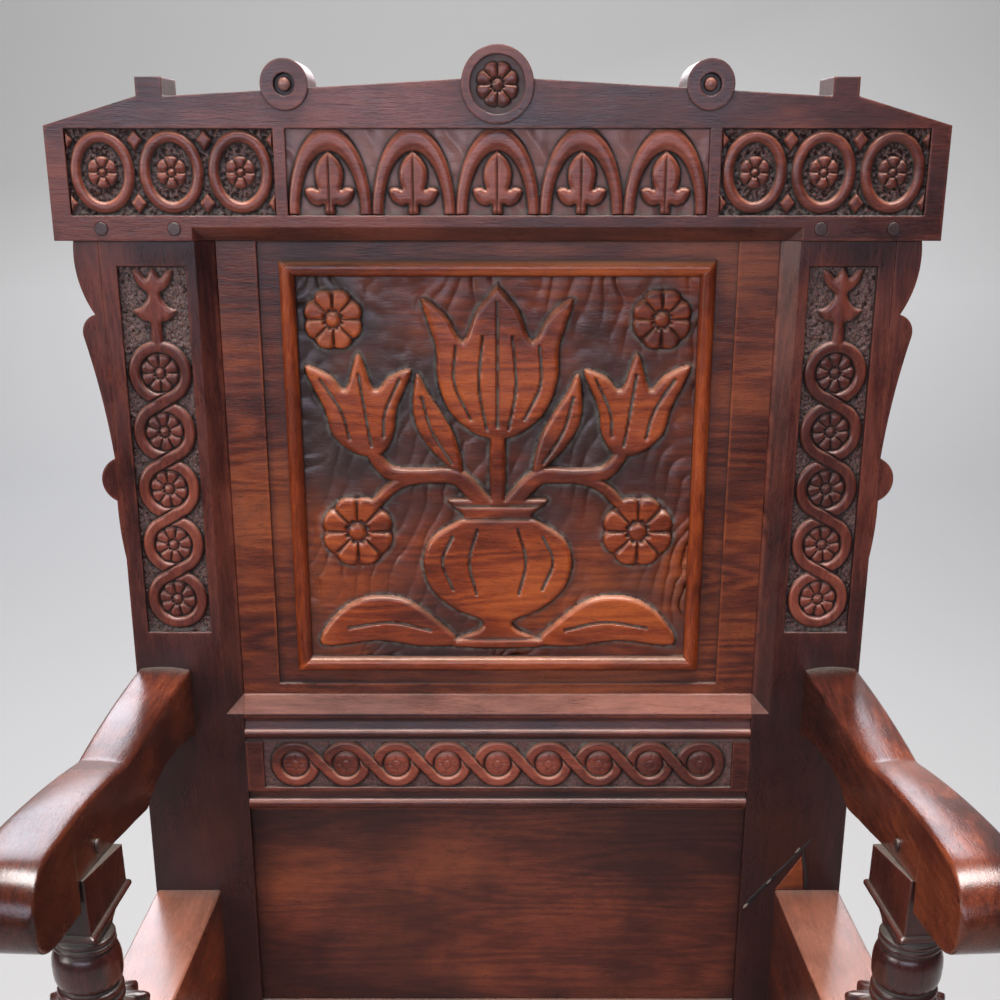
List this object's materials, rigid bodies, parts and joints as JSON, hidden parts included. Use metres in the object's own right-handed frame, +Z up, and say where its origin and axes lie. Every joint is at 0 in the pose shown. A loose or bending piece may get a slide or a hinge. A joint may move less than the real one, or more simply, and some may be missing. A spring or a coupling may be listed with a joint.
{
  "type": "wainscot chair",
  "caption": "Joined wooden armchair with a tall panelled back, scrolled crest and ears, shaped arms on turned front posts, board seat and stretchers.",
  "frame": {"origin": "on the floor, under the middle of the whole chair's box", "axes": "+Z up from the floor; -Y the way a sitter faces; +X to the right of someone who looks at the chair's front"},
  "size_m": [0.688, 0.5012, 1.227],
  "materials": {
    "oak_frame": "dark reddish-brown varnish, semi-gloss",
    "oak_panel": "dark reddish-brown varnish, semi-gloss",
    "oak_arm": "dark brown varnish, worn to a shine",
    "oak_seat": "dark brown varnish, worn",
    "oak_peg": "dark brown, matt"
  },
  "bodies": {
    "root": {"arm_left": "oak_arm", "arm_pegs": "oak_peg", "arm_right": "oak_arm", "cleat_left": "oak_frame", "cleat_right": "oak_frame", "crest_button_left": "oak_frame", "crest_button_right": "oak_frame", "crest_pegs": "oak_peg", "crest_rail": "oak_frame", "ear_left": "oak_frame", "ear_right": "oak_frame", "front_post_left": "oak_frame", "front_post_right": "oak_frame", "front_rail": "oak_frame", "front_stretcher": "oak_frame", "lower_back_rail": "oak_frame", "lower_panel": "oak_panel", "middle_rail": "oak_frame", "panel_moulding_bottom": "oak_panel", "panel_moulding_left": "oak_panel", "panel_moulding_right": "oak_panel", "panel_moulding_top": "oak_panel", "rear_stretcher": "oak_frame", "seat_board_front": "oak_seat", "seat_board_middle": "oak_seat", "seat_board_rear": "oak_seat", "side_rail_left": "oak_frame", "side_rail_right": "oak_frame", "side_stretcher_left": "oak_frame", "side_stretcher_right": "oak_frame", "stile_left": "oak_frame", "stile_right": "oak_frame", "upper_panel": "oak_panel"}
  },
  "joints": []
}
